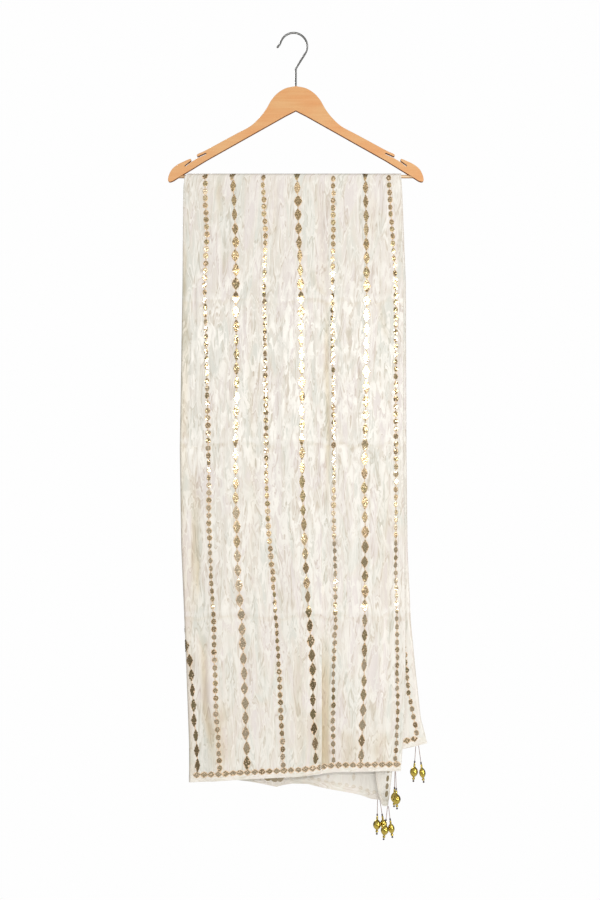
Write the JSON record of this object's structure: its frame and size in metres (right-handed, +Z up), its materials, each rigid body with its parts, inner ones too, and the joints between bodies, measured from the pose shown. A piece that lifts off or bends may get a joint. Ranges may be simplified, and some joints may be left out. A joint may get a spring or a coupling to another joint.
{
  "type": "dupatta stole on wooden clothes hanger",
  "caption": "Long crushed tissue dupatta with sequin stripes and beaded corner tassels, folded lengthwise and hung over the bar of a notched wooden hanger with a wire hook.",
  "frame": {"origin": "inside top of the hook, where a rail carries it", "axes": "+Z up, +X to the right as seen from the front, so the long free edges of the folded cloth are at +X and its fold at -X; the front of the cloth faces -Y"},
  "size_m": [0.4567, 0.056, 1.4289],
  "materials": {
    "hanger_wood": "clear satin lacquer over beech",
    "bar_wood": "clear satin lacquer over pale dowel",
    "hook_chrome": "polished",
    "tissue_silk": "crushed tissue silk with a satin shimmer",
    "tissue_hem": "turned hem of the same tissue",
    "sequin_gold": "small antique gold sequins",
    "tassel_thread": "twisted cord",
    "seed_bead": "dark glass-like bead",
    "gold_bead": "polished gold tone"
  },
  "bodies": {
    "root": {"hanger_frame": "hanger_wood", "hanger_bar": "bar_wood", "hanger_hook": "hook_chrome", "cloth_front_outer": "tissue_silk", "cloth_front_inner": "tissue_silk", "cloth_back_inner": "tissue_silk", "cloth_back_outer": "tissue_silk", "hem_front_outer": "tissue_hem", "hem_front_inner": "tissue_hem", "hem_back_inner": "tissue_hem", "hem_back_outer": "tissue_hem", "thread_front_inner_a": "tassel_thread", "seed_front_inner_a": "seed_bead", "drop_front_inner_a": "gold_bead", "end_front_inner_a": "gold_bead", "tip_front_inner_a": "seed_bead", "thread_front_inner_b": "tassel_thread", "seed_front_inner_b": "seed_bead", "drop_front_inner_b": "gold_bead", "end_front_inner_b": "gold_bead", "tip_front_inner_b": "seed_bead", "thread_front_outer_a": "tassel_thread", "seed_front_outer_a": "seed_bead", "drop_front_outer_a": "gold_bead", "end_front_outer_a": "gold_bead", "tip_front_outer_a": "seed_bead", "thread_front_outer_b": "tassel_thread", "seed_front_outer_b": "seed_bead", "drop_front_outer_b": "gold_bead", "end_front_outer_b": "gold_bead", "tip_front_outer_b": "seed_bead", "thread_back_outer_a": "tassel_thread", "seed_back_outer_a": "seed_bead", "drop_back_outer_a": "gold_bead", "end_back_outer_a": "gold_bead", "tip_back_outer_a": "seed_bead", "thread_back_outer_b": "tassel_thread", "seed_back_outer_b": "seed_bead", "drop_back_outer_b": "gold_bead", "end_back_outer_b": "gold_bead", "tip_back_outer_b": "seed_bead", "thread_back_inner_a": "tassel_thread", "seed_back_inner_a": "seed_bead", "drop_back_inner_a": "gold_bead", "end_back_inner_a": "gold_bead", "tip_back_inner_a": "seed_bead", "thread_back_inner_b": "tassel_thread", "seed_back_inner_b": "seed_bead", "drop_back_inner_b": "gold_bead", "end_back_inner_b": "gold_bead", "tip_back_inner_b": "seed_bead"}
  },
  "joints": []
}
